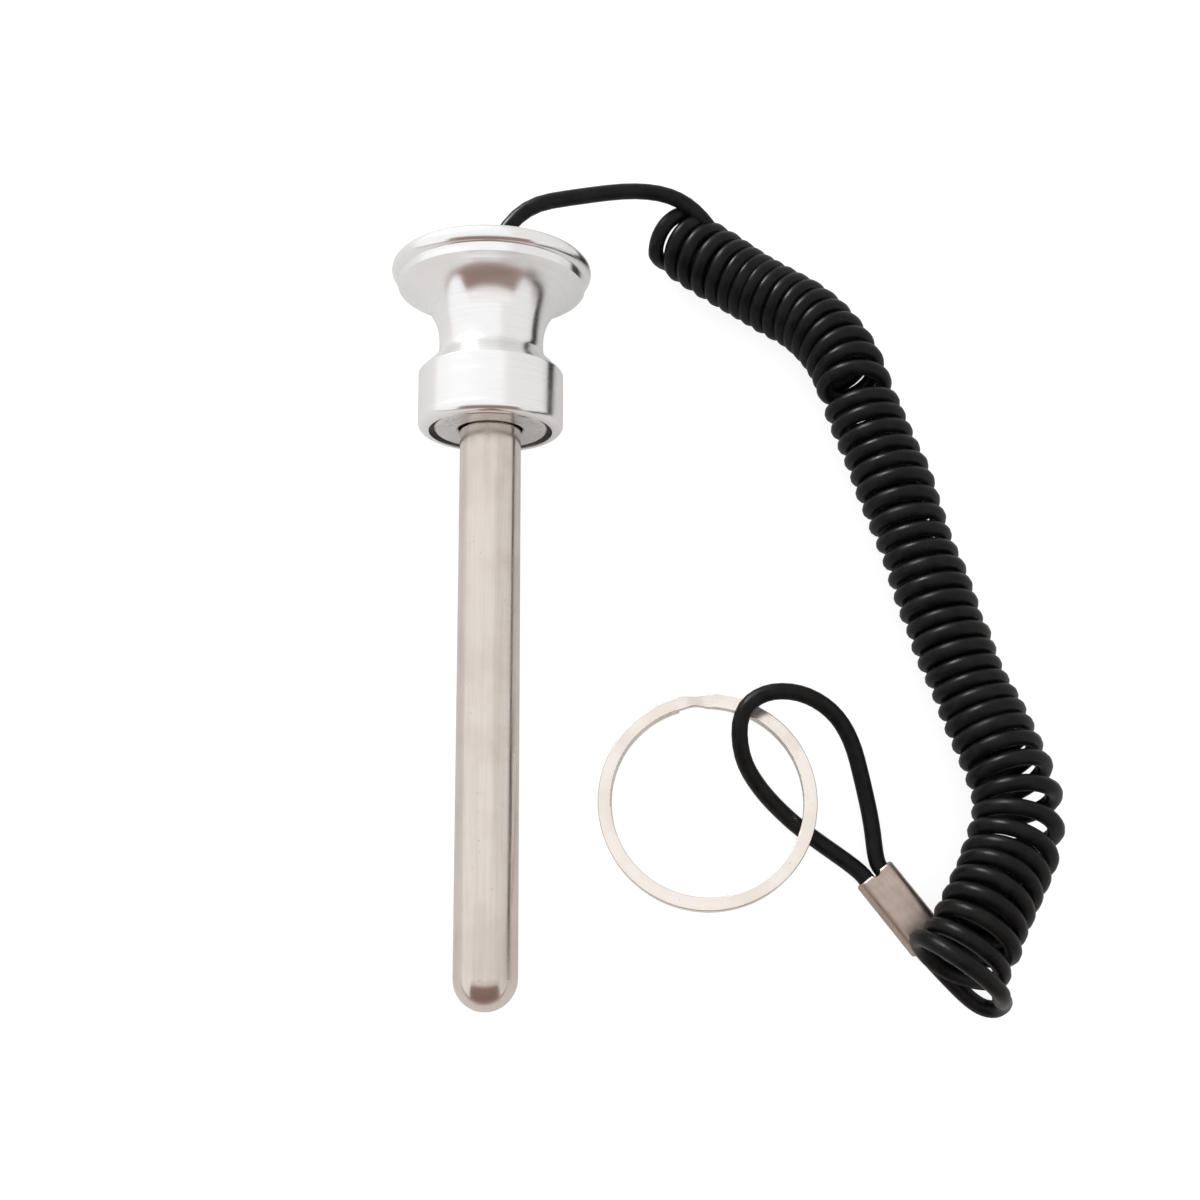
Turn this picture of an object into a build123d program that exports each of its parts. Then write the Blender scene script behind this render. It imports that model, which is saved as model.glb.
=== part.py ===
"""A magnetic selector pin for a weight stack, with its curly lanyard and split ring.

Millimetres. The pin lies on a table, +Z up: its dome tip points to -Y, its knob to +Y, and
it rests on the tip and on the rim of the flange. The origin is under the middle of the pin.
"""

from build123d import *
import os
from math import asin, atan2, cos, degrees, hypot, pi, radians, sin, tan

# ---- steel shaft ------------------------------------------------------------------
shaft_dia = 10.0
shaft_reach = 92.0          # tip to the collar's face
tip_flat_dia = 1.6          # small blunt spot on the dome
land_relief = 0.3           # radial, where the shaft runs through the magnet
shank_dia = 8.0             # reduced end, pressed into the knob
shank_chamfer = 0.6
press_gap = 0.02            # radial, between pieces pressed or glued together

# ---- magnet -----------------------------------------------------------------------
magnet_dia = 18.6
magnet_len = 7.8
magnet_recess = 0.2         # below the collar's face
magnet_chamfer = 0.3
shaft_clearance = 0.3       # radial, magnet to shaft
sleeve_wall = 0.85          # black ring between the magnet and the collar
sleeve_recess = 0.45

# ---- turned knob ------------------------------------------------------------------
collar_wall = 1.8           # outside the black ring
pocket_floor = 1.7          # collar past the magnet's pocket
collar_edge_r = 1.3         # rounded edge of the collar's face
shoulder_edge_r = 0.35
shoulder_fillet_r = 3.2
shoulder_slope = 45.0       # degrees, from the collar in to the neck
neck_inset = 3.33           # radial, collar to neck
neck_len = 2.36             # straight part, before the shoulder's fillet
flare_turn = 65.0           # degrees of the flare's arc, from the neck out
flare_lip = 1.32            # radial, the flare's straight end, up to the step
flange_dia = 33.4
bead_r = 1.45               # rounded rim of the flange
step_inset = 1.1            # radial, short wall between the flare and the bead
step_len = 1.45
socket_relief = 0.9         # past the shank's end
stop_room = 4.8             # between the shank's socket and the roof over the bead

# ---- cord -------------------------------------------------------------------------
cord_dia = 2.7
cord_hole_gap = 0.25        # radial, knob's hole to the cord
hole_mouth_r = 0.8
stop_wall = 1.45            # crimped bead that keeps the cord in the knob
stop_len = 3.0
stop_edge_r = 0.5
stop_pocket_gap = 0.5       # radial, bead to its pocket
roof_len = 3.0              # knob's wall over the pocket
coil_dia = 12.6             # outside of the turns
coil_end_dia = 14.8         # outside of the wider turns near the ring

# ---- crimp ferrule ----------------------------------------------------------------
ferrule_len = 13.6
ferrule_side = 0.55         # wall beside the cords
ferrule_wall = 0.45         # wall over and under them
ferrule_edge_r = 1.45
ferrule_cord_gap = 0.3      # between the two cords in it
ferrule_web = 1.5           # height of the slot that joins its two bores
ferrule_bevel = 0.25        # pressed edge round each end
notch_r = 0.9               # dent between the cords in the mouth
notch_depth = 0.6
mouth_run = 3.5             # to the cords' first bends outside the mouth
back_run = 2.5              # to the tail's bend outside the other end
cut_end_depth = 6.5         # the loop's cut end lies this far inside the mouth
ferrule_mouth = (61.2, -40.4)
ferrule_heading = -53.1     # degrees from +X, from the loop to the coil

# ---- split ring -------------------------------------------------------------------
ring_dia = 35.0
wire_width = 2.15
wire_thick = 1.1
wire_edge_r = 0.2
turn_gap = 0.1              # between the two turns
joggle_start = 104.0        # degrees, where the upper turn starts to dive
joggle_span = 18.0
joggle_pinch = 0.25         # the wire is this share narrower halfway down
joggle_steps = 6
end_gap = 1.2               # degrees between each end and the joggle
ground_len = 26.0           # degrees of the top end that are ground thinner
ground_depth = 0.22
ring_side = (51.64, -33.92)  # where the cord passes under it
ring_lift_heading = -17.0   # degrees from +X, from the ring's centre to that side
ring_cord_gap = 0.65        # between the raised side and the cord under it

# ---- routes of the cord, chosen by hand -------------------------------------------
lead_bend = 3.4             # from the knob's top to the lead's first bend
lead_route = [
    (5.4, 70.9, 17.6),
    (14.6, 73.2, 16.9),
    (24.4, 75.5, 15.6),
    (33.2, 75.2, 13.4),
    (38.2, 72.6, 7.6),
]
coil_route = [
    (31.2, 73.4, 8.5),
    (38.6, 66.7, 7.3),
    (47.2, 60.7, 6.4),
    (54.6, 55.0, 6.4),
    (60.0, 47.4, 6.3),
    (63.0, 38.0, 6.4),
    (66.4, 28.0, 6.3),
    (69.6, 17.8, 6.4),
    (72.3, 7.8, 6.3),
    (75.0, -2.2, 6.4),
    (78.2, -12.0, 6.4),
    (81.5, -21.4, 6.8),
    (83.5, -29.8, 7.5),
]
coil_end_route = [
    (82.4, -24.9, 7.4),
    (83.6, -31.6, 7.5),
    (82.2, -38.6, 8.0),
    (78.6, -45.0, 9.6),
    (74.4, -50.9, 11.4),
]
turn_route = [
    (71.7, -48.3, 15.4),
    (75.2, -54.5, 17.0),
    (80.0, -59.7, 15.1),
    (81.5, -61.9, 8.2),
    (78.0, -59.5, 2.0),
]
loop_route = [
    (50.8, -32.9, 1.4),
    (43.1, -28.6, 2.8),
    (39.2, -21.3, 6.2),
    (40.9, -12.9, 8.7),
    (48.6, -8.2, 8.7),
    (56.9, -10.6, 6.2),
    (60.3, -18.4, 3.4),
    (60.2, -26.0, 1.7),
]

# ---- places worked out from the sizes ----------------------------------------------
shaft_r = shaft_dia / 2
cord_r = cord_dia / 2
stop_r = cord_r + stop_wall
bore_r = magnet_dia / 2 + sleeve_wall
collar_r = bore_r + collar_wall
neck_r = collar_r - neck_inset
pocket_depth = magnet_recess + magnet_len

# The knob's outline, from the collar's face: shoulder, neck, flare, lip, step and bead.
shoulder_from = shaft_reach + pocket_depth + pocket_floor
shoulder_to = shoulder_from + neck_inset / tan(radians(shoulder_slope))
step_r = flange_dia / 2 - step_inset
bead_centre_r = flange_dia / 2 - bead_r
flare_r = (step_r - flare_lip - neck_r) / (1 - cos(radians(flare_turn)))
flare_from = shoulder_to + neck_len
flare_to = flare_from + flare_r * sin(radians(flare_turn))
step_from = flare_to + flare_lip / tan(radians(flare_turn))
bead_under = step_from + step_len
bead_place = bead_under + (bead_r**2 - (step_r - bead_centre_r) ** 2) ** 0.5
knob_top = bead_place + bead_r
roof_place = knob_top - roof_len
socket_end = roof_place - stop_room

# The pin leans until the flange's rim and the dome both touch the table.
lean_run = bead_place - shaft_r
lean_rise = bead_r - shaft_r
pin_lean = degrees(asin(lean_rise / hypot(lean_run, bead_centre_r)) + atan2(bead_centre_r, lean_run))
tip_height = shaft_r - shaft_r * sin(radians(pin_lean))
near_end = shaft_r * (cos(radians(pin_lean)) - 1)
far_end = bead_place * cos(radians(pin_lean)) + bead_centre_r * sin(radians(pin_lean)) + bead_r
pin_place = Location((0, -(near_end + far_end) / 2, tip_height), (pin_lean - 90, 0, 0))

ferrule_pitch = cord_dia + ferrule_cord_gap
ferrule_width = ferrule_pitch + cord_dia + 2 * ferrule_side
ferrule_height = cord_dia + 2 * ferrule_wall

# The ring rests on its left edge and is held up by the cord that passes under it.
ring_r = ring_dia / 2
wire_r = ring_r - wire_width / 2
wire_level = (wire_thick + turn_gap) / 2
ring_half = wire_level + wire_thick / 2
ring_lean = degrees(asin((cord_dia + ring_cord_gap) / (2 * ring_r - wire_width)))
ring_height = ring_r * sin(radians(ring_lean)) + ring_half * cos(radians(ring_lean))
ring_place = (
    Location(
        (
            ring_side[0] - ring_r * cos(radians(ring_lift_heading)),
            ring_side[1] - ring_r * sin(radians(ring_lift_heading)),
            ring_height,
        ),
        (0, 0, ring_lift_heading),
    )
    * Location((0, 0, 0), (0, -ring_lean, 0))
    * Location((0, 0, 0), (0, 0, -ring_lift_heading))
)


def on_pin_axis(along):
    """The point of the pin's axis this far from the tip."""
    return (pin_place * Location((0, 0, along))).position


def turned(profile):
    """A full turn of a sketch in the XZ plane about Z."""
    return revolve(profile, Axis.Z)


def make_shaft():
    with BuildSketch(Plane.XZ) as profile:
        with BuildLine():
            flat_r = tip_flat_dia / 2
            flat_at = shaft_r - (shaft_r**2 - flat_r**2) ** 0.5
            mid = (shaft_r * sin(pi / 4), shaft_r - shaft_r * cos(pi / 4))
            land_r = shaft_r - land_relief
            shoulder = shaft_reach + pocket_depth
            shank_r = shank_dia / 2 - press_gap
            end = socket_end - socket_relief
            Line((0, flat_at), (flat_r, flat_at))
            ThreePointArc((flat_r, flat_at), mid, (shaft_r, shaft_r))
            Polyline(
                (shaft_r, shaft_r),
                (shaft_r, shaft_reach),
                (land_r, shaft_reach),
                (land_r, shoulder),
                (shank_r, shoulder),
                (shank_r, end - shank_chamfer),
                (shank_r - shank_chamfer, end),
                (0, end),
                (0, flat_at),
            )
        make_face()
    return turned(profile.sketch)


def make_knob():
    face = shaft_reach
    pocket_r = stop_r + stop_pocket_gap
    hole_r = cord_r + cord_hole_gap
    with BuildSketch(Plane.XZ) as profile:
        with BuildLine():
            Polyline(
                (bore_r, face),
                (collar_r, face),
                (collar_r, shoulder_from),
                (neck_r, shoulder_to),
                (neck_r, flare_from),
            )
            flare = CenterArc((neck_r + flare_r, flare_from), flare_r, 180, -flare_turn)
            Polyline(flare @ 1, (step_r, step_from), (step_r, bead_under))
            ThreePointArc(
                (step_r, bead_under),
                (flange_dia / 2, bead_place),
                (bead_centre_r, knob_top),
            )
            Polyline(
                (bead_centre_r, knob_top),
                (hole_r, knob_top),
                (hole_r, roof_place),
                (pocket_r, roof_place),
                (pocket_r, socket_end),
                (shank_dia / 2, socket_end),
                (shank_dia / 2, face + pocket_depth),
                (bore_r, face + pocket_depth),
                (bore_r, face),
            )
        make_face()
        for corner, radius in (
            ((collar_r, face), collar_edge_r),
            ((collar_r, shoulder_from), shoulder_edge_r),
            ((neck_r, shoulder_to), shoulder_fillet_r),
            ((hole_r, knob_top), hole_mouth_r),
        ):
            fillet(profile.vertices().sort_by_distance(corner)[0], radius)
    return turned(profile.sketch)


def make_ring_magnet():
    back = shaft_reach + pocket_depth
    inner = shaft_r + shaft_clearance
    width = magnet_dia / 2 - inner
    with BuildSketch(Plane.XZ) as profile:
        with Locations((inner + width / 2, back - magnet_len / 2)):
            Rectangle(width, magnet_len)
        chamfer(profile.vertices(), magnet_chamfer)
    return turned(profile.sketch)


def make_magnet_sleeve():
    length = pocket_depth - sleeve_recess
    inner = magnet_dia / 2 + press_gap
    outer = bore_r - press_gap
    with BuildSketch(Plane.XZ) as profile:
        with Locations(((inner + outer) / 2, shaft_reach + pocket_depth - length / 2)):
            Rectangle(outer - inner, length)
    return turned(profile.sketch)


def make_cord_stop():
    with BuildSketch(Plane.XZ) as profile:
        with Locations(((cord_r + stop_r) / 2, roof_place - stop_len / 2)):
            Rectangle(stop_wall, stop_len)
        outer = profile.vertices().sort_by(Axis.X)[-2:]
        fillet(outer, stop_edge_r)
    return turned(profile.sketch)


def cord_path(points, name):
    """Straight runs joined by arcs as large as the runs allow."""
    points = [Vector(*p) for p in points]
    radii = []
    for before, here, after in zip(points, points[1:], points[2:]):
        half_turn = radians((here - before).get_angle(after - here)) / 2
        shorter = min((here - before).length, (after - here).length)
        radii.append(0.45 * shorter / tan(half_turn))
    print(name, "radii", [round(r, 1) for r in radii])
    path = FilletPolyline(*points, radius=radii)
    print(name, "length", round(path.length, 1))
    return path


def make_tube(points, dia, name):
    path = cord_path(points, name)
    start = Plane(origin=path @ 0, z_dir=path % 0)
    tube = sweep(start * Circle(dia / 2), path=path)
    plain = pi * dia**2 / 4 * path.length
    print(name, "volume over section times length", round(tube.volume / plain, 4))
    return tube


def make_lead_cord():
    start = on_pin_axis(roof_place - stop_len)
    bend = on_pin_axis(knob_top + lead_bend)
    return make_tube([start, bend, *lead_route], cord_dia, "lead_cord")


def make_curly_cord():
    upper = make_tube(coil_route, coil_dia, "curly_cord")
    lower = make_tube(coil_end_route, coil_end_dia, "curly_cord end")
    return upper + lower


def ferrule_point(along, across):
    """A point on the table under the ferrule, from its mouth's middle."""
    turn = radians(ferrule_heading)
    x = ferrule_mouth[0] + along * cos(turn) - across * sin(turn)
    y = ferrule_mouth[1] + along * sin(turn) + across * cos(turn)
    return (x, y, ferrule_height / 2)


def make_loop_cord():
    """The last open turn of the coil, the tail through the ferrule, the loop and its end."""
    side = -ferrule_pitch / 2
    points = [
        *turn_route,
        ferrule_point(ferrule_len + back_run, side),
        ferrule_point(-mouth_run, side),
        *loop_route,
        ferrule_point(-mouth_run, -side),
        ferrule_point(cut_end_depth, -side),
    ]
    return make_tube(points, cord_dia, "loop_cord")


def make_crimp_ferrule():
    with BuildSketch() as outline:
        RectangleRounded(ferrule_width, ferrule_height, ferrule_edge_r)
        with Locations((ferrule_pitch / 2, 0), (-ferrule_pitch / 2, 0)):
            Circle(cord_r + press_gap, mode=Mode.SUBTRACT)
        Rectangle(ferrule_pitch, ferrule_web, mode=Mode.SUBTRACT)
    blank = extrude(RectangleRounded(ferrule_width, ferrule_height, ferrule_edge_r), ferrule_len)
    ends = blank.faces().sort_by(Axis.Z)
    blank = chamfer([*ends[0].edges(), *ends[-1].edges()], ferrule_bevel)
    notch_place = Location((0, 0, notch_depth - notch_r), (90, 0, 0))
    notch = notch_place * Cylinder(notch_r, 2 * ferrule_height)
    sleeve = (blank & extrude(outline.sketch, ferrule_len)) - notch
    x, y, z = ferrule_point(0, 0)
    turn = radians(ferrule_heading)
    mouth = Plane(origin=(x, y, z), x_dir=(-sin(turn), cos(turn), 0), z_dir=(cos(turn), sin(turn), 0))
    return mouth * sleeve


def wire_section(angle, level, width):
    """The flat wire's section in the plane through the ring's axis at this angle."""
    turn = radians(angle)
    plane = Plane(
        origin=(wire_r * cos(turn), wire_r * sin(turn), level),
        x_dir=(cos(turn), sin(turn), 0),
        z_dir=(-sin(turn), cos(turn), 0),
    )
    return plane * RectangleRounded(width, wire_thick, wire_edge_r)


def wire_turn(start, end, level):
    """One level turn of the wire, anticlockwise from start to end."""
    section = wire_section(start, level, wire_width)
    return revolve(section, Axis.Z, end - start)


def make_split_ring():
    """Two turns of flat wire: clockwise round the top, down the joggle, round below."""
    joggle_end = joggle_start - joggle_span
    top_end = joggle_end - end_gap
    bottom_end = joggle_start + end_gap
    sections = []
    for i in range(joggle_steps + 1):
        share = i / joggle_steps
        sink = (1 - cos(pi * share)) / 2
        pinch = 1 - joggle_pinch * sin(pi * share) ** 2
        angle = joggle_end + joggle_span * share
        sections.append(wire_section(angle, -wire_level + 2 * wire_level * sink, wire_width * pinch))
    joggle = loft(sections)
    top = wire_turn(joggle_start, top_end + 360, wire_level)
    bottom = wire_turn(bottom_end, joggle_end + 360, -wire_level)
    ring = top + joggle + bottom
    cutter_r = ring_r + wire_thick
    with BuildSketch(Plane.XY.offset(ring_half - ground_depth)) as ground:
        with BuildLine():
            edge = CenterArc((0, 0), cutter_r, top_end - ground_len, ground_len + end_gap / 2)
            Line(edge @ 1, (0, 0))
            Line((0, 0), edge @ 0)
        make_face()
    return ring_place * (ring - extrude(ground.sketch, wire_thick))


def main():
    os.makedirs("parts", exist_ok=True)
    pieces = {
        "shaft": pin_place * make_shaft(),
        "knob": pin_place * make_knob(),
        "ring_magnet": pin_place * make_ring_magnet(),
        "magnet_sleeve": pin_place * make_magnet_sleeve(),
        "cord_stop": pin_place * make_cord_stop(),
        "lead_cord": make_lead_cord(),
        "curly_cord": make_curly_cord(),
        "loop_cord": make_loop_cord(),
        "crimp_ferrule": make_crimp_ferrule(),
        "split_ring": make_split_ring(),
    }
    for name, piece in pieces.items():
        export_step(piece, f"parts/{name}.step")
    print("pin lean", round(pin_lean, 3), "pin place", pin_place.position)
    print("ring lean", round(ring_lean, 3), "ring centre", ring_place.position)


main()
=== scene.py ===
"""Magnetic weight stack pin: the visual pieces of the part, built on its CAD frame.

Metres. +Y runs from the dome tip to the knob, +Z is up and the table is at 0.
"""
from math import cos, pi, radians, sin, tan

import bmesh
import bpy
from mathutils import Matrix, Vector


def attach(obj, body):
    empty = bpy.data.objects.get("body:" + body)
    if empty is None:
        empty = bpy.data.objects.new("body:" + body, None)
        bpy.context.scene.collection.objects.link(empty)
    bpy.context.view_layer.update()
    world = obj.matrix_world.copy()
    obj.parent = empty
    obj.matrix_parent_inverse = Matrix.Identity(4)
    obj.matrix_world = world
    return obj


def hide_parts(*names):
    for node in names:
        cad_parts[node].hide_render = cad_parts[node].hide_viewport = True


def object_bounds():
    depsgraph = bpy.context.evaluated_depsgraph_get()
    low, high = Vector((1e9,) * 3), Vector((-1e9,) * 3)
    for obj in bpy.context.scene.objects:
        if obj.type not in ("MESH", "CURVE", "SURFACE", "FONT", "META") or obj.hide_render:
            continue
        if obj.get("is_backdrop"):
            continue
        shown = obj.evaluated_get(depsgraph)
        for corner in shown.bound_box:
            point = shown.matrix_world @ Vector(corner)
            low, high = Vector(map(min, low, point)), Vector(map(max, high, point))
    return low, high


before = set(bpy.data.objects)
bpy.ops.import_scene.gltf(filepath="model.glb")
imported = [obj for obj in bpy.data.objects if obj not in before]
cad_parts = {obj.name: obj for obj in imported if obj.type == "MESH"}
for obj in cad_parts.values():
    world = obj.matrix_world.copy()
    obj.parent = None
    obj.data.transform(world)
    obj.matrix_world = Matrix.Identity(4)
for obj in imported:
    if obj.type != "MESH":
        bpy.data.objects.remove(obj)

bl_info = {
    "name": "Weight Stack Pin",
    "version": (1, 0, 0),
    "blender": (4, 5, 0),
    "location": "View3D > Sidebar > Pin",
    "description": "Builds the pin, its curly lanyard, crimp ferrule and split ring",
    "category": "Object",
}

# From inside the knob to the coil: the knob's hole, over the flange, past the first turns.
LEAD_ROUTE = [
    (0.0, 0.05357, 0.01616),
    (0.0, 0.0595, 0.01676),
    (0.0, 0.0629, 0.0171),
    (0.0054, 0.0709, 0.0176),
    (0.0146, 0.0732, 0.0169),
    (0.0250, 0.0755, 0.0156),
    (0.0324, 0.0749, 0.0140),
    (0.0375, 0.0708, 0.0120),
    (0.0400, 0.0686, 0.0070),
]
# Under the first turns and up to the near flank.
UNDER_ROUTE = [
    (0.0385, 0.0702, 0.0016),
    (0.0315, 0.0685, 0.0018),
]

# The coil's axis.
COIL_ROUTE = [
    (0.0297, 0.0717, 0.0079),
    (0.0384, 0.0660, 0.0076),
    (0.0471, 0.0605, 0.0064),
    (0.0552, 0.0556, 0.0064),
    (0.0609, 0.0480, 0.0063),
    (0.0634, 0.0381, 0.0064),
    (0.0668, 0.0282, 0.0063),
    (0.0697, 0.0178, 0.0064),
    (0.0724, 0.0078, 0.0063),
    (0.0750, -0.0022, 0.0064),
    (0.0781, -0.0120, 0.0064),
    (0.0816, -0.0213, 0.0068),
    (0.0841, -0.0303, 0.0075),
    (0.0814, -0.0385, 0.0080),
    (0.0777, -0.0447, 0.0090),
    (0.0748, -0.0499, 0.0092),
    (0.0720, -0.0545, 0.0092),
    (0.0700, -0.0567, 0.0092),
]
# By turn of the coil: its number, pitch, radius of the cord's centreline, how far its far
# flank leans ahead and how far its top tilts back, both in degrees.
COIL_TURNS = [
    (1.0, 0.00315, 0.00475, 5, 23),
    (1.5, 0.00298, 0.00480, 5, 25),
    (2.2, 0.00260, 0.00490, 5, 25),
    (3.2, 0.00285, 0.00500, 5, 25),
    (4.2, 0.00286, 0.00500, 5, 25),
    (5.3, 0.00245, 0.00490, 5, 25),
    (6.5, 0.00222, 0.00480, 5, 25),
    (7.5, 0.00205, 0.00480, 5, 25),
    (9.0, 0.00256, 0.00490, 5, 25),
    (12.0, 0.00252, 0.00500, 5, 24),
    (13.0, 0.00258, 0.00500, 5, 23),
    (14.0, 0.00310, 0.00500, 4, 21),
    (15.5, 0.00312, 0.00505, 3, 17),
    (16.5, 0.00320, 0.00505, 4, 15),
    (17.3, 0.00690, 0.00505, 4, 4),
    (17.9, 0.00300, 0.00505, 2, 4),
    (18.5, 0.00284, 0.00505, 2, 4),
    (19.5, 0.00308, 0.00505, 2, 4),
    (21.0, 0.00316, 0.00505, 2, 4),
    (22.7, 0.00310, 0.00530, 2, 4),
    (24.5, 0.00325, 0.00505, 2, 4),
    (26.5, 0.00315, 0.00480, 2, 5),
    (28.5, 0.00305, 0.00510, 1, 7),
    (30.0, 0.00292, 0.00510, 1, 7),
    (31.0, 0.00285, 0.00485, 1, 7),
    (32.0, 0.00280, 0.00515, 1, 7),
    (34.5, 0.00281, 0.00485, 1, 7),
    (37.0, 0.00262, 0.00530, 1, 8),
    (38.0, 0.00262, 0.00535, 1, 10),
    (39.0, 0.00310, 0.00540, 1, 12),
    (40.2, 0.00390, 0.00555, 0, 10),
    (41.0, 0.00430, 0.00570, 0, 5),
    (42.0, 0.00405, 0.00585, 0, 5),
    (43.5, 0.00311, 0.00590, 0, 13),
    (44.5, 0.00278, 0.00560, 0, 13),
    (45.5, 0.00306, 0.00560, 1, 13),
    (46.5, 0.00280, 0.00560, 1, 13),
    (47.5, 0.00310, 0.00560, 1, 13),
    (48.4, 0.00385, 0.00600, 0, 8),
    (49.2, 0.00375, 0.00600, 0, 4),
    (49.5, 0.00350, 0.00640, -1, 8),
    (49.8, 0.00340, 0.00700, -3, 1),
    (50.3, 0.00200, 0.00760, -8, 0),
]
# The counts at which the coil starts and ends. A whole count is at the top of a turn.
FIRST_TURN = 0.75
LAST_TURN = 50.25
POINTS_A_TURN = 16
# The height at which the cord's middle line runs where it lies on the table.
LIFT = 0.0014

# Off the last open turn to the ferrule's left bore.
END_TURN_ROUTE = [
    (0.0793, -0.0601, 0.0054),
    (0.0790, -0.0612, 0.0024),
    (0.0772, -0.0611, 0.0014),
    (0.0750, -0.0597, 0.0014),
    (0.0723, -0.0569, 0.0014),
]
# From the ferrule's left bore under the ring, over it and back to the right bore.
LOOP_ROUTE = [
    (0.0520, -0.0347, 0.0014),
    (0.0481, -0.0316, 0.0015),
    (0.0434, -0.0270, 0.0030),
    (0.0401, -0.0222, 0.0062),
    (0.0399, -0.0155, 0.0084),
    (0.0440, -0.0122, 0.0088),
    (0.0498, -0.0122, 0.0087),
    (0.0550, -0.0149, 0.0076),
    (0.0582, -0.0195, 0.0060),
    (0.0600, -0.0262, 0.0038),
    (0.0613, -0.0325, 0.0024),
]
# The ferrule's mouth, the way its bores run in degrees, their height and their middles' places
# to the sides. Then how far along the bores the cord's points stand.
FERRULE_MOUTH = (0.0612, -0.0404)
FERRULE_HEADING = -53.1
FERRULE_LEVEL = 0.0018
BORE_SIDE = 0.0015
LEFT_BORE_STEPS = (0.0150, 0.0120, 0.0005, -0.0020)
RIGHT_BORE_STEPS = (-0.0012, 0.0005, 0.0065)
# How many points are laid on each span of a route.
ROUTE_STEPS = 24

# Where patterns are centred and turned: the pin's place and lean, the split ring's.
PIN_CENTRE = (0.0, -0.06105, 0.00449)
PIN_TURN = (radians(5.813), 0.0, 0.0)
RING_CENTRE = (0.0349, -0.0288, 0.00293)
RING_TURN = (radians(-1.7), radians(-5.6), 0.0)

# ---- tints that handling, wear and dust leave --------------------------------------------
WORN_SHAFT = (0.60, 0.53, 0.48)
WORN_KNOB = (0.86, 0.855, 0.85)
WORN_MAGNET = (0.58, 0.55, 0.53)
WORN_STOP = (0.5, 0.36, 0.18)
WORN_RING = (0.72, 0.64, 0.58)
WORN_FERRULE = (0.36, 0.28, 0.24)
DUSTY_SLEEVE = (0.03, 0.03, 0.03)
DUSTY_CORD = (0.012, 0.0115, 0.011)
SMUDGE_SHARE = 0.4
MOTTLE_GLOSS = 0.05
BUMP_STRENGTH = 0.5
RUBBER_SHINE = 0.14

# ---- the stage ---------------------------------------------------------------------------
CAMERA_PLACE = (0.01272, -0.06425, 0.22651)
CAMERA_TURN = (radians(17.195), radians(-1.217), radians(-0.478))
FILM_WIDTH = 36

# How far the floor turns white for the camera and in the metal, and how bright that white is.
FLOOR_WHITE = 0.6
FLOOR_IN_METAL = 0.08
FLOOR_GLOW = 1.42
FLOOR_DROP = 0.0001
FLOOR_PLAIN = (0.72, 0.72, 0.72)
# The floor's tints in the metal's reflections: pale, and a painted brown reflection in front.
FLOOR_PALE = (0.72, 0.70, 0.69)
PAINTED_BROWN_REFLECTION = (0.30, 0.20, 0.17)
# Painted reflection: the floor turns brown only in the metal's reflections, between these places
# in front of the pin.
BROWN_FROM, BROWN_TO = -0.075, -0.11

# The softbox behind and to the left, with its power in watts.
SOFTBOX_PLACE = (-0.50, 0.80, 0.42)
SOFTBOX_SIZE = 0.3
SOFTBOX_POWER = 14.0

# The card in front of the pin, a glowing painted reflection that only the metal shows: half its
# side, how steeply it leans, its middle and its tints, which change between these places.
CARD_SIZE = 0.20
CARD_SLOPE = radians(47)
CARD_CENTRE = (0.0, -0.206, 0.115)
CARD_LIGHT = (0.93, 0.91, 0.90)
CARD_PAINTED_BROWN = (0.27, 0.18, 0.155)
CARD_LIGHT_TO, CARD_BROWN_FROM = -0.125, -0.17

# The room: white, and a little greyer past these angles to the right.
ROOM_WHITE = (1, 1, 1)
ROOM_GREY = (0.84, 0.83, 0.82)
GREY_FROM, GREY_TO = radians(18), radians(30)


def along_table(table, count, column):
    """The value of this column at this count, eased between its rows."""
    for low, high in zip(table, table[1:]):
        if count <= high[0]:
            part = max(0.0, (count - low[0]) / (high[0] - low[0]))
            part = part * part * (3 - 2 * part)
            return low[column] + (high[column] - low[column]) * part
    return table[-1][column]


def nurbs_curve(name, points, resolution):
    """A curve with one open quadratic NURBS spline through the route."""
    curve = bpy.data.curves.new(name, "CURVE")
    curve.dimensions = "3D"
    curve.resolution_u = resolution
    spline = curve.splines.new("NURBS")
    spline.points.add(len(points) - 1)
    for point, place in zip(spline.points, points):
        point.co = (*place, 1.0)
    spline.order_u = 3
    spline.use_endpoint_u = True
    return curve


def laid_points(route):
    """The points that Blender lays along the route's NURBS spline."""
    curve = nurbs_curve("route", route, ROUTE_STEPS)
    holder = bpy.data.objects.new("route", curve)
    mesh = bpy.data.meshes.new_from_object(holder)
    points = [vertex.co.copy() for vertex in mesh.vertices]
    bpy.data.objects.remove(holder)
    bpy.data.curves.remove(curve)
    bpy.data.meshes.remove(mesh)
    return points


def ferrule_point(along, across):
    """A point this far down the ferrule from its mouth, and this far to its right."""
    turn = radians(FERRULE_HEADING)
    x = FERRULE_MOUTH[0] + along * cos(turn) - across * sin(turn)
    y = FERRULE_MOUTH[1] + along * sin(turn) + across * cos(turn)
    return (x, y, FERRULE_LEVEL)


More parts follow.
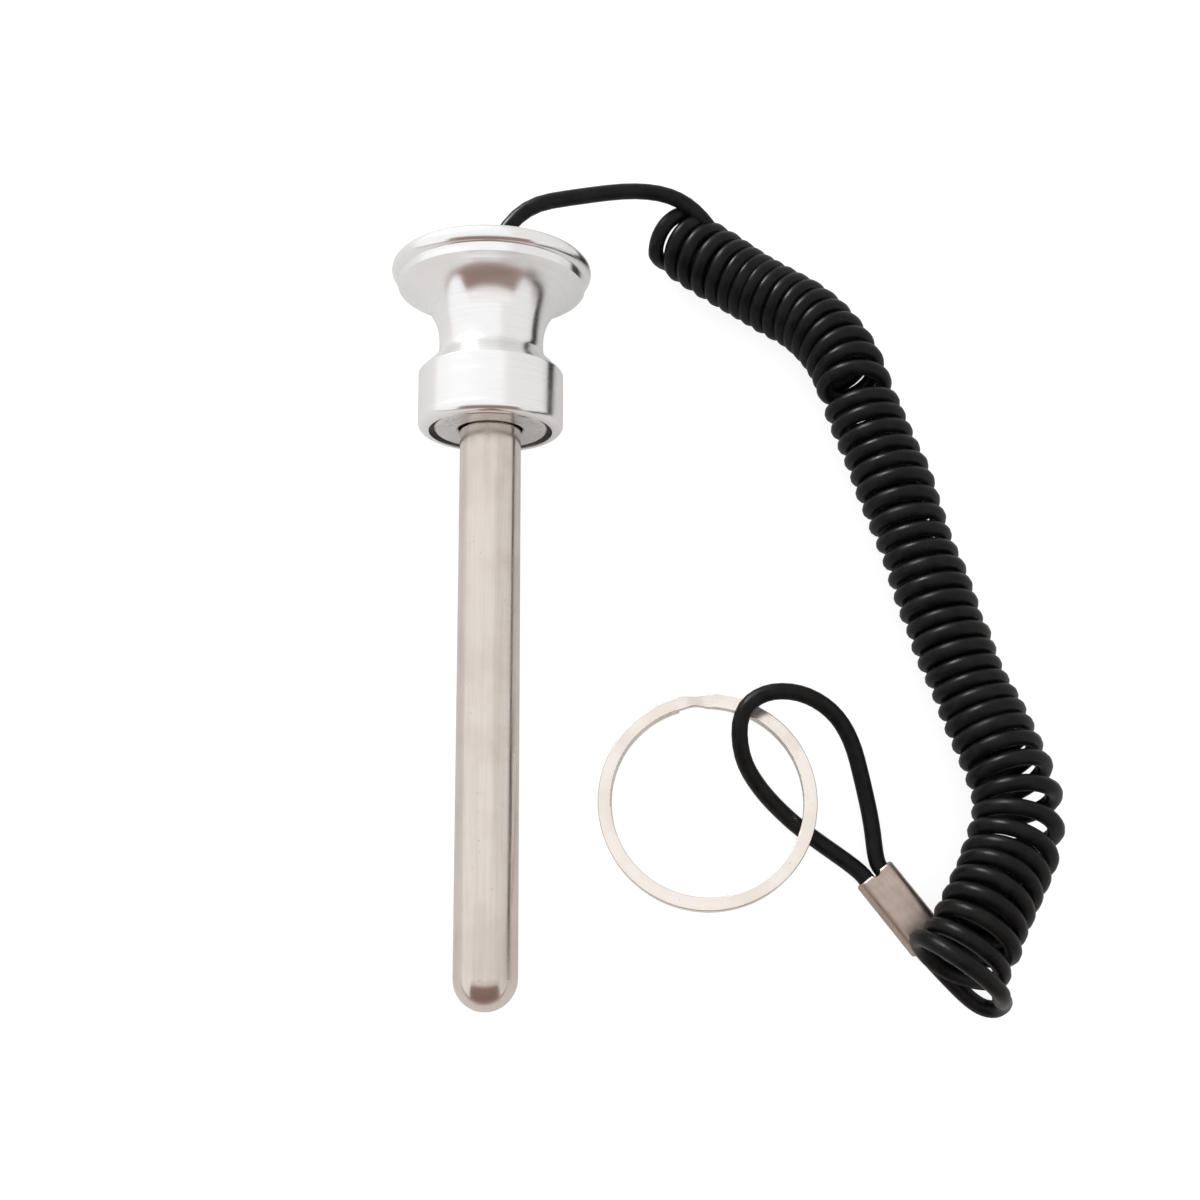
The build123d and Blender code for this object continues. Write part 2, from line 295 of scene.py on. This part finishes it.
def helix_points(route):
    """Control points of the left-handed coil round the route."""
    line = laid_points(route)
    reach = [0.0]
    for before, here in zip(line, line[1:]):
        reach.append(reach[-1] + (here - before).length)
    # The spline cuts its points' corners, so the points stand out by this share.
    swell = 0.75 + 0.25 * cos(2 * pi / POINTS_A_TURN)
    points = []
    place, index = 0.0, 0
    count = FIRST_TURN
    while count <= LAST_TURN:
        while index < len(line) - 2 and reach[index + 1] < place:
            index += 1
        part = (place - reach[index]) / (reach[index + 1] - reach[index])
        centre = Vector(line[index].lerp(line[index + 1], part))
        low, high = max(index - 3, 0), min(index + 4, len(line) - 1)
        ahead = (line[high] - line[low]).normalized()
        side = ahead.cross(Vector((0, 0, 1))).normalized()
        up = side.cross(ahead)
        pitch, radius, lean, tilt = (
            along_table(COIL_TURNS, count, column) for column in (1, 2, 3, 4)
        )
        reach_out = radius / swell
        centre.z = max(centre.z, radius + LIFT)
        turn = 2 * pi * count
        out = reach_out * (cos(turn) * up - sin(turn) * side)
        slide = sin(turn) * tan(radians(lean)) + (1 - cos(turn)) * tan(radians(tilt))
        points.append(centre + out + reach_out * slide * ahead)
        place += pitch / POINTS_A_TURN
        count += 1 / POINTS_A_TURN
    return points


def cord_points():
    """The whole cord's points, from inside the knob to its end in the ferrule."""
    points = [*LEAD_ROUTE, *UNDER_ROUTE]
    points += helix_points(COIL_ROUTE)
    points += END_TURN_ROUTE
    points += [ferrule_point(along, -BORE_SIDE) for along in LEFT_BORE_STEPS]
    points += LOOP_ROUTE
    points += [ferrule_point(along, BORE_SIDE) for along in RIGHT_BORE_STEPS]
    return points


# ---- shader groups: effects that more than one finish uses -----------------------------
def group_tree(name, inputs, outputs):
    """An empty shader group with its named sockets, and its two end nodes."""
    tree = bpy.data.node_groups.new(name, "ShaderNodeTree")
    for label, kind, value in inputs:
        socket = tree.interface.new_socket(label, in_out="INPUT", socket_type=kind)
        if value is not None:
            socket.default_value = value
    for label, kind in outputs:
        tree.interface.new_socket(label, in_out="OUTPUT", socket_type=kind)
    return tree, tree.nodes.new("NodeGroupInput"), tree.nodes.new("NodeGroupOutput")


def feed(tree, socket, value):
    """Puts a number or a link into the socket."""
    if isinstance(value, bpy.types.NodeSocket):
        tree.links.new(value, socket)
    elif value is not None:
        socket.default_value = value


def math_node(tree, operation, first, second=None):
    """A Math node's result; a number or a socket goes in at each side."""
    node = tree.nodes.new("ShaderNodeMath")
    node.operation = operation
    for socket, value in zip(node.inputs, (first, second)):
        feed(tree, socket, value)
    return node.outputs[0]


def scaled(tree, value, factor):
    return math_node(tree, "MULTIPLY", value, factor)


def with_share(tree, value, other, share):
    """The value, with a share of the other added."""
    return math_node(tree, "ADD", value, scaled(tree, other, share))


def spread(tree, value, low, high, to_low, to_high, smooth=True):
    """The value carried from one span to another and held at its ends."""
    node = tree.nodes.new("ShaderNodeMapRange")
    node.interpolation_type = "SMOOTHSTEP" if smooth else "LINEAR"
    for socket, number in zip(node.inputs, (value, low, high, to_low, to_high)):
        feed(tree, socket, number)
    return node.outputs[0]


def uneven(tree, mask, middle, below, above):
    """A roughness that goes from below the middle to above it with the mask."""
    return spread(tree, mask, 0, 1, middle - below, middle + above, smooth=False)


def noise(tree, vector, scale, detail, rough):
    node = tree.nodes.new("ShaderNodeTexNoise")
    feed(tree, node.inputs["Vector"], vector)
    feed(tree, node.inputs["Scale"], scale)
    feed(tree, node.inputs["Detail"], detail)
    feed(tree, node.inputs["Roughness"], rough)
    return node.outputs["Fac"]


def mixed(tree, share, first, second):
    """A colour between two others, each a tint or a socket."""
    node = tree.nodes.new("ShaderNodeMix")
    node.data_type = "RGBA"
    feed(tree, node.inputs["Factor"], share)
    for label, colour in (("A", first), ("B", second)):
        is_socket = isinstance(colour, bpy.types.NodeSocket)
        feed(tree, node.inputs[label], colour if is_socket else (*colour, 1))
    return node.outputs["Result"]


def object_parts(tree):
    """Object coordinates, taken apart."""
    where = tree.nodes.new("ShaderNodeTexCoord")
    parts = tree.nodes.new("ShaderNodeSeparateXYZ")
    tree.links.new(where.outputs["Object"], parts.inputs[0])
    return parts


def lines_group():
    """Fine tool lines: noise drawn out along the directions that have a small stretch."""
    tree, start, end = group_tree(
        "Tool lines",
        [
            ("Vector", "NodeSocketVector", None),
            ("Stretch", "NodeSocketVector", (1, 1, 1)),
            ("Fineness", "NodeSocketFloat", 1000.0),
        ],
        [("Lines", "NodeSocketFloat"), ("Scratches", "NodeSocketFloat")],
    )
    drawn = tree.nodes.new("ShaderNodeVectorMath")
    drawn.operation = "MULTIPLY"
    tree.links.new(start.outputs["Vector"], drawn.inputs[0])
    tree.links.new(start.outputs["Stretch"], drawn.inputs[1])
    fine = noise(tree, drawn.outputs[0], start.outputs["Fineness"], 4, 0.6)
    tree.links.new(spread(tree, fine, 0.3, 0.7, 0, 1), end.inputs["Lines"])
    coarse_scale = scaled(tree, start.outputs["Fineness"], 0.31)
    coarse = noise(tree, drawn.outputs[0], coarse_scale, 2, 0.5)
    tree.links.new(spread(tree, coarse, 0.66, 0.74, 0, 1), end.inputs["Scratches"])
    return tree


def handling_group():
    """Soft smudges and small specks left by handling."""
    tree, start, end = group_tree(
        "Handling",
        [
            ("Vector", "NodeSocketVector", None),
            ("Smudge scale", "NodeSocketFloat", 120.0),
            ("Speck scale", "NodeSocketFloat", 1500.0),
        ],
        [("Smudges", "NodeSocketFloat"), ("Specks", "NodeSocketFloat")],
    )
    soft = noise(tree, start.outputs["Vector"], start.outputs["Smudge scale"], 3, 0.55)
    tree.links.new(spread(tree, soft, 0.4, 0.68, 0, 1), end.inputs["Smudges"])
    fine = noise(tree, start.outputs["Vector"], start.outputs["Speck scale"], 2, 0.5)
    tree.links.new(spread(tree, fine, 0.68, 0.76, 0, 1), end.inputs["Specks"])
    return tree


def grain_group():
    """Fine grain of a moulded or blasted skin, as a height."""
    tree, start, end = group_tree(
        "Skin grain",
        [
            ("Vector", "NodeSocketVector", None),
            ("Scale", "NodeSocketFloat", 3000.0),
        ],
        [("Height", "NodeSocketFloat"), ("Mottle", "NodeSocketFloat")],
    )
    fine = noise(tree, start.outputs["Vector"], start.outputs["Scale"], 3, 0.6)
    tree.links.new(fine, end.inputs["Height"])
    wide_scale = scaled(tree, start.outputs["Scale"], 0.12)
    wide = noise(tree, start.outputs["Vector"], wide_scale, 3, 0.55)
    tree.links.new(spread(tree, wide, 0.35, 0.65, 0, 1), end.inputs["Mottle"])
    return tree


def group_node(tree, name, build, **values):
    """The named group in this material, built when it is first asked for."""
    node = tree.nodes.new("ShaderNodeGroup")
    node.node_tree = bpy.data.node_groups.get(name) or build()
    for label, value in values.items():
        feed(tree, node.inputs[label.replace("_", " ")], value)
    return node


def new_finish(name, metallic, settings=()):
    """A material with its shader; the settings are the shader's own constants."""
    material = bpy.data.materials.new(name)
    material.use_nodes = True
    tree = material.node_tree
    shader = tree.nodes["Principled BSDF"]
    shader.inputs["Metallic"].default_value = metallic
    for label, value in settings:
        shader.inputs[label].default_value = value
    return material, tree, shader


def placed_coordinates(tree, centre, turn):
    """Object coordinates with their origin moved to a piece's centre and turned."""
    where = tree.nodes.new("ShaderNodeTexCoord")
    placed = tree.nodes.new("ShaderNodeMapping")
    placed.vector_type = "TEXTURE"
    placed.inputs["Location"].default_value = centre
    placed.inputs["Rotation"].default_value = turn
    tree.links.new(where.outputs["Object"], placed.inputs["Vector"])
    return placed.outputs["Vector"]


def bump(tree, shader, height, distance):
    node = tree.nodes.new("ShaderNodeBump")
    node.inputs["Strength"].default_value = BUMP_STRENGTH
    node.inputs["Distance"].default_value = distance
    tree.links.new(height, node.inputs["Height"])
    tree.links.new(node.outputs["Normal"], shader.inputs["Normal"])


def worn_colour(tree, shader, colour, worn, tone):
    tree.links.new(mixed(tree, tone, colour, worn), shader.inputs["Base Color"])


def metal_tone(tree, lines, marks, line_share):
    """How far the metal goes to its worn tint: along lines, in smudges and in specks."""
    tone = scaled(tree, lines.outputs["Lines"], line_share)
    tone = with_share(tree, tone, marks.outputs["Smudges"], SMUDGE_SHARE)
    return math_node(tree, "MAXIMUM", tone, marks.outputs["Specks"])


def metal_finish(name, colour, worn, rough, stretch, fineness, depth, smudge=0.06):
    """Turned, drawn or plated metal: tool lines, a few scratches and handling marks."""
    material, tree, shader = new_finish(name, 1.0)
    vector = placed_coordinates(tree, PIN_CENTRE, PIN_TURN)
    lines = group_node(
        tree, "Tool lines", lines_group, Vector=vector, Stretch=stretch, Fineness=fineness
    )
    marks = group_node(tree, "Handling", handling_group, Vector=vector)
    worn_colour(tree, shader, colour, worn, metal_tone(tree, lines, marks, 0.35))
    gloss = uneven(tree, lines.outputs["Lines"], rough, 0.03, 0.03)
    gloss = with_share(tree, gloss, marks.outputs["Smudges"], smudge)
    gloss = with_share(tree, gloss, lines.outputs["Scratches"], 0.08)
    tree.links.new(gloss, shader.inputs["Roughness"])
    height = math_node(tree, "SUBTRACT", lines.outputs["Lines"], lines.outputs["Scratches"])
    bump(tree, shader, height, depth)
    return material


def ring_finish(name, colour, worn, rough):
    """Plated spring wire: lines drawn along its turns, by the distance from the ring's centre."""
    material, tree, shader = new_finish(name, 1.0)
    vector = placed_coordinates(tree, RING_CENTRE, RING_TURN)
    parts = tree.nodes.new("ShaderNodeSeparateXYZ")
    tree.links.new(vector, parts.inputs[0])
    squares = [scaled(tree, parts.outputs[axis], parts.outputs[axis]) for axis in "XY"]
    radius = math_node(tree, "SQRT", math_node(tree, "ADD", *squares))
    around = tree.nodes.new("ShaderNodeCombineXYZ")
    tree.links.new(radius, around.inputs["X"])
    tree.links.new(parts.outputs["Z"], around.inputs["Z"])
    lines = group_node(
        tree, "Tool lines", lines_group,
        Vector=around.outputs[0], Stretch=(1, 1, 0.5), Fineness=3500.0,
    )
    marks = group_node(tree, "Handling", handling_group, Vector=vector, Smudge_scale=160.0)
    worn_colour(tree, shader, colour, worn, metal_tone(tree, lines, marks, 0.3))
    gloss = uneven(tree, marks.outputs["Smudges"], rough, 0.03, 0.06)
    tree.links.new(gloss, shader.inputs["Roughness"])
    bump(tree, shader, lines.outputs["Lines"], 0.000004)
    return material


def rubber_finish(name, colour, dusty, rough, scale, depth):
    """Black moulded or extruded plastic: fine grain, with a slightly uneven gloss."""
    material, tree, shader = new_finish(name, 0.0, (("Specular IOR Level", RUBBER_SHINE),))
    vector = placed_coordinates(tree, (0, 0, 0), (0, 0, 0))
    grain = group_node(tree, "Skin grain", grain_group, Vector=vector, Scale=scale)
    marks = group_node(
        tree, "Handling", handling_group, Vector=vector, Smudge_scale=90.0, Speck_scale=2600.0
    )
    tone = scaled(tree, grain.outputs["Mottle"], 0.5)
    tone = math_node(tree, "MAXIMUM", tone, marks.outputs["Specks"])
    worn_colour(tree, shader, colour, dusty, tone)
    gloss = uneven(tree, grain.outputs["Mottle"], rough, MOTTLE_GLOSS, MOTTLE_GLOSS)
    gloss = with_share(tree, gloss, marks.outputs["Smudges"], 0.08)
    tree.links.new(gloss, shader.inputs["Roughness"])
    bump(tree, shader, grain.outputs["Height"], depth)
    return material


def satin_finish(name, colour, worn, rough):
    """Tumbled plated steel of the crimped ferrule: dull, grainy, with long scuffs."""
    material, tree, shader = new_finish(name, 1.0)
    centre = (*FERRULE_MOUTH, FERRULE_LEVEL)
    vector = placed_coordinates(tree, centre, (0, 0, radians(FERRULE_HEADING)))
    grain = group_node(tree, "Skin grain", grain_group, Vector=vector, Scale=4200.0)
    lines = group_node(
        tree, "Tool lines", lines_group, Vector=vector, Stretch=(0.12, 1, 1), Fineness=2600.0
    )
    tone = scaled(tree, grain.outputs["Mottle"], 0.25)
    tone = with_share(tree, tone, lines.outputs["Lines"], 0.3)
    worn_colour(tree, shader, colour, worn, tone)
    gloss = uneven(tree, grain.outputs["Mottle"], rough, MOTTLE_GLOSS, MOTTLE_GLOSS)
    gloss = with_share(tree, gloss, lines.outputs["Scratches"], 0.1)
    tree.links.new(gloss, shader.inputs["Roughness"])
    height = math_node(tree, "SUBTRACT", grain.outputs["Height"], lines.outputs["Scratches"])
    bump(tree, shader, height, 0.00001)
    return material


def dress(name, material):
    """Puts the finish on a piece that comes with the frame."""
    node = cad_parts[name]
    node.data.materials.clear()
    node.data.materials.append(material)
    for polygon in node.data.polygons:
        polygon.material_index = 0


# ---- settings --------------------------------------------------------------------------
def tint(label, text, value):
    return bpy.props.FloatVectorProperty(
        name=label, description=text, subtype="COLOR", size=3, min=0, max=1, default=value
    )


def share(label, text, value):
    return bpy.props.FloatProperty(
        name=label, description=text, subtype="FACTOR", min=0, max=1, default=value
    )


class PinFinishSettings(bpy.types.PropertyGroup):
    """Colours and gloss of the pin's pieces."""

    shaft_colour: tint("Shaft", "Steel of the selector shaft", (0.76, 0.70, 0.65))
    shaft_rough: share("Shaft roughness", "How dull the turned shaft is", 0.2)
    knob_colour: tint("Knob", "Polished aluminium of the knob", (0.93, 0.93, 0.93))
    knob_rough: share("Knob roughness", "How dull the polished knob is", 0.19)
    magnet_colour: tint("Magnet", "Nickel plate of the ring magnet", (0.74, 0.73, 0.72))
    sleeve_colour: tint(
        "Sleeve", "Black plastic between the magnet and the collar", (0.012, 0.012, 0.012)
    )
    stop_colour: tint("Cord stop", "Brass stop inside the knob", (0.70, 0.53, 0.28))
    ring_colour: tint("Split ring", "Nickel plate of the split ring", (0.93, 0.87, 0.81))
    ring_rough: share("Ring roughness", "How dull the split ring is", 0.22)
    ferrule_colour: tint("Ferrule", "Satin plate of the crimp ferrule", (0.50, 0.41, 0.36))
    ferrule_rough: share("Ferrule roughness", "How dull the ferrule is", 0.34)
    cord_colour: tint("Cord", "Black skin of the lanyard", (0.004, 0.004, 0.004))
    cord_rough: share("Cord roughness", "How dull the lanyard is", 0.34)


class PinSizeSettings(bpy.types.PropertyGroup):
    """Sizes of the pieces that this file models."""

    cord_radius: bpy.props.FloatProperty(
        name="Cord radius",
        description="Half the lanyard's diameter",
        subtype="DISTANCE",
        unit="LENGTH",
        default=0.00135,
        min=0.0008,
        max=0.0016,
    )
    floor_size: bpy.props.FloatProperty(
        name="Floor",
        description="Half the floor's side",
        subtype="DISTANCE",
        unit="LENGTH",
        default=1.5,
        min=0.5,
    )
    focal_length: bpy.props.FloatProperty(
        name="Lens",
        description="Focal length in millimetres",
        default=42.05,
        min=20,
        max=120,
    )


# ---- operators: one for each piece ------------------------------------------------------
class PIN_OT_shaft(bpy.types.Operator):
    """Finish the selector shaft as turned steel"""

    bl_idname = "pin.shaft"
    bl_label = "Shaft"

    def execute(self, context):
        finish = context.scene.pin_finish
        dress("shaft", metal_finish(
            "shaft_steel", finish.shaft_colour, WORN_SHAFT, finish.shaft_rough,
            stretch=(1, 0.03, 1), fineness=1300.0, depth=0.000001,
        ))
        return {"FINISHED"}


class PIN_OT_knob(bpy.types.Operator):
    """Finish the knob as polished aluminium"""

    bl_idname = "pin.knob"
    bl_label = "Knob"

    def execute(self, context):
        finish = context.scene.pin_finish
        dress("knob", metal_finish(
            "knob_aluminium", finish.knob_colour, WORN_KNOB, finish.knob_rough,
            stretch=(0.04, 1, 0.04), fineness=2600.0, depth=0.0000004, smudge=0.05,
        ))
        return {"FINISHED"}


class PIN_OT_magnet(bpy.types.Operator):
    """Finish the ring magnet and its black sleeve"""

    bl_idname = "pin.magnet"
    bl_label = "Magnet and sleeve"

    def execute(self, context):
        finish = context.scene.pin_finish
        dress("ring_magnet", metal_finish(
            "magnet_nickel", finish.magnet_colour, WORN_MAGNET, rough=0.24,
            stretch=(1, 0.2, 1), fineness=1500.0, depth=0.000004,
        ))
        dress("magnet_sleeve", rubber_finish(
            "sleeve_black", finish.sleeve_colour, DUSTY_SLEEVE,
            rough=0.45, scale=3000.0, depth=0.00001,
        ))
        return {"FINISHED"}


class PIN_OT_stop(bpy.types.Operator):
    """Finish the brass stop that holds the lanyard inside the knob"""

    bl_idname = "pin.cord_stop"
    bl_label = "Cord stop"

    def execute(self, context):
        finish = context.scene.pin_finish
        dress("cord_stop", metal_finish(
            "stop_brass", finish.stop_colour, WORN_STOP, rough=0.3,
            stretch=(0.1, 1, 0.1), fineness=2000.0, depth=0.000003,
        ))
        return {"FINISHED"}


class PIN_OT_ferrule(bpy.types.Operator):
    """Finish the crimp ferrule as satin plated steel"""

    bl_idname = "pin.ferrule"
    bl_label = "Crimp ferrule"

    def execute(self, context):
        finish = context.scene.pin_finish
        dress("crimp_ferrule", satin_finish(
            "ferrule_steel", finish.ferrule_colour, WORN_FERRULE, finish.ferrule_rough
        ))
        return {"FINISHED"}


class PIN_OT_ring(bpy.types.Operator):
    """Finish the split ring as plated spring wire"""

    bl_idname = "pin.split_ring"
    bl_label = "Split ring"

    def execute(self, context):
        finish = context.scene.pin_finish
        dress("split_ring", ring_finish(
            "ring_nickel", finish.ring_colour, WORN_RING, finish.ring_rough
        ))
        return {"FINISHED"}


class PIN_OT_lanyard(bpy.types.Operator):
    """Lay the curly lanyard from the knob through the ferrule and round the ring"""

    bl_idname = "pin.lanyard"
    bl_label = "Lanyard"

    def execute(self, context):
        finish, sizes = context.scene.pin_finish, context.scene.pin_sizes
        curve = nurbs_curve("lanyard", cord_points(), 4)
        curve.bevel_depth = sizes.cord_radius
        curve.bevel_resolution = 4
        curve.use_fill_caps = True
        curve.materials.append(rubber_finish(
            "cord_black", finish.cord_colour, DUSTY_CORD, finish.cord_rough,
            scale=3400.0, depth=0.00003,
        ))
        cord = bpy.data.objects.new("lanyard", curve)
        context.scene.collection.objects.link(cord)
        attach(cord, "pin")
        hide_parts("lead_cord", "curly_cord", "loop_cord")
        return {"FINISHED"}


class PIN_OT_stage(bpy.types.Operator):
    """Set the camera, the pale floor and the soft studio light"""

    bl_idname = "pin.stage"
    bl_label = "Stage"

    def execute(self, context):
        sizes = context.scene.pin_sizes
        set_camera(context.scene, sizes.focal_length)
        set_floor(context.scene, sizes.floor_size)
        set_card(context.scene)
        set_studio(context.scene)
        context.scene.view_settings.view_transform = "Standard"
        return {"FINISHED"}


def set_camera(scene, lens):
    data = bpy.data.cameras.new("camera")
    data.lens = lens
    data.sensor_width = FILM_WIDTH
    data.clip_start = 0.005
    data.clip_end = 20
    camera = bpy.data.objects.new("camera", data)
    camera.rotation_euler = CAMERA_TURN
    camera.location = CAMERA_PLACE
    scene.collection.objects.link(camera)
    scene.camera = camera


def set_floor(scene, size):
    """A pale floor: white to the camera with a soft shadow, and a painted brown reflection in
    front that only the metal shows.
    """
    mesh = bpy.data.meshes.new("floor")
    build = bmesh.new()
    bmesh.ops.create_grid(build, x_segments=1, y_segments=1, size=size)
    build.to_mesh(mesh)
    build.free()
    floor = bpy.data.objects.new("floor", mesh)
    floor.location = (0, 0, -FLOOR_DROP)
    scene.collection.objects.link(floor)
    floor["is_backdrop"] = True
    material, tree, shader = new_finish("floor", 0.0)
    shader.inputs["Roughness"].default_value = 0.9
    # Painted reflection: in front of the pin the floor is brown, but only to rays reflected from
    # the metal.
    brown_reflection_share = spread(tree, object_parts(tree).outputs["Y"], BROWN_FROM, BROWN_TO, 0, 1)
    tone = mixed(tree, brown_reflection_share, FLOOR_PALE, PAINTED_BROWN_REFLECTION)
    path = tree.nodes.new("ShaderNodeLightPath")
    tone = mixed(tree, path.outputs["Is Glossy Ray"], FLOOR_PLAIN, tone)
    tree.links.new(tone, shader.inputs["Base Color"])
    glow = tree.nodes.new("ShaderNodeEmission")
    glow.inputs["Strength"].default_value = FLOOR_GLOW
    mix = tree.nodes.new("ShaderNodeMixShader")
    seen = scaled(tree, path.outputs["Is Camera Ray"], FLOOR_WHITE)
    mirrored = math_node(
        tree, "MAXIMUM", path.outputs["Is Glossy Ray"], path.outputs["Is Transmission Ray"]
    )
    seen = math_node(tree, "MAXIMUM", seen, scaled(tree, mirrored, FLOOR_IN_METAL))
    tree.links.new(seen, mix.inputs["Fac"])
    tree.links.new(shader.outputs[0], mix.inputs[1])
    tree.links.new(glow.outputs[0], mix.inputs[2])
    tree.links.new(mix.outputs[0], tree.nodes["Material Output"].inputs["Surface"])
    mesh.materials.append(material)


def set_card(scene):
    """A glowing card that leans over the floor in front, pale above and brown below: a painted
    reflection that only the metal shows.
    """
    build = bmesh.new()
    bmesh.ops.create_grid(build, x_segments=1, y_segments=1, size=CARD_SIZE)
    bmesh.ops.rotate(build, verts=build.verts, matrix=Matrix.Rotation(CARD_SLOPE, 3, "X"))
    bmesh.ops.translate(build, verts=build.verts, vec=CARD_CENTRE)
    mesh = bpy.data.meshes.new("card")
    build.to_mesh(mesh)
    build.free()
    card = bpy.data.objects.new("card", mesh)
    scene.collection.objects.link(card)
    card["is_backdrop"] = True
    card.visible_camera = False
    card.visible_diffuse = False
    card.visible_shadow = False
    material = bpy.data.materials.new("card")
    material.use_nodes = True
    tree = material.node_tree
    # Painted reflection: the card glows pale above and brown below, and only glossy rays see it.
    glow = tree.nodes.new("ShaderNodeEmission")
    low = spread(tree, object_parts(tree).outputs["Y"], CARD_LIGHT_TO, CARD_BROWN_FROM, 0, 1)
    tree.links.new(mixed(tree, low, CARD_LIGHT, CARD_PAINTED_BROWN), glow.inputs["Color"])
    tree.links.new(glow.outputs[0], tree.nodes["Material Output"].inputs["Surface"])
    mesh.materials.append(material)


def set_studio(scene):
    """A white room, a little greyer on the right, and a softbox that only polished pieces show."""
    lamp = bpy.data.lights.new("softbox", "AREA")
    lamp.shape = "SQUARE"
    lamp.size = SOFTBOX_SIZE
    lamp.energy = SOFTBOX_POWER
    box = bpy.data.objects.new("softbox", lamp)
    box.location = Vector(SOFTBOX_PLACE)
    box.rotation_euler = Vector(SOFTBOX_PLACE).to_track_quat("Z", "Y").to_euler()
    box.visible_diffuse = False
    scene.collection.objects.link(box)
    world = bpy.data.worlds.new("studio")
    scene.world = world
    world.use_nodes = True
    tree = world.node_tree
    back = tree.nodes["Background"]
    where = tree.nodes.new("ShaderNodeTexCoord")
    parts = tree.nodes.new("ShaderNodeSeparateXYZ")
    tree.links.new(where.outputs["Generated"], parts.inputs[0])
    right = math_node(tree, "ARCTAN2", parts.outputs["X"], parts.outputs["Z"])
    grey = spread(tree, right, GREY_FROM, GREY_TO, 0, 1)
    room = mixed(tree, grey, ROOM_WHITE, ROOM_GREY)
    path = tree.nodes.new("ShaderNodeLightPath")
    room = mixed(tree, path.outputs["Is Camera Ray"], room, ROOM_WHITE)
    tree.links.new(room, back.inputs["Color"])
    back.inputs["Strength"].default_value = 1.0


OPERATORS = (
    PIN_OT_shaft,
    PIN_OT_knob,
    PIN_OT_magnet,
    PIN_OT_stop,
    PIN_OT_ferrule,
    PIN_OT_ring,
    PIN_OT_lanyard,
    PIN_OT_stage,
)


class PIN_PT_pieces(bpy.types.Panel):
    """The pieces of the pin, with their sizes and colours"""

    bl_idname = "PIN_PT_pieces"
    bl_label = "Weight Stack Pin"
    bl_space_type = "VIEW_3D"
    bl_region_type = "UI"
    bl_category = "Pin"

    def draw(self, context):
        column = self.layout.column()
        for operator in OPERATORS:
            column.operator(operator.bl_idname)
        for settings in (context.scene.pin_sizes, context.scene.pin_finish):
            for name in settings.__annotations__:
                column.prop(settings, name)


CLASSES = (PinFinishSettings, PinSizeSettings, *OPERATORS, PIN_PT_pieces)


def register():
    for item in CLASSES:
        bpy.utils.register_class(item)
    bpy.types.Scene.pin_finish = bpy.props.PointerProperty(type=PinFinishSettings)
    bpy.types.Scene.pin_sizes = bpy.props.PointerProperty(type=PinSizeSettings)


def unregister():
    del bpy.types.Scene.pin_sizes
    del bpy.types.Scene.pin_finish
    for item in reversed(CLASSES):
        bpy.utils.unregister_class(item)


def box_now():
    bpy.context.view_layer.update()
    return [list(corner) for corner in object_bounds()]


def main():
    register()
    size = {"cad": box_now()}
    bpy.ops.pin.shaft()
    bpy.ops.pin.knob()
    bpy.ops.pin.magnet()
    bpy.ops.pin.cord_stop()
    bpy.ops.pin.ferrule()
    bpy.ops.pin.split_ring()
    bpy.ops.pin.lanyard()
    bpy.ops.pin.stage()
    size["visual"] = box_now()


if __name__ == "__main__":
    main()
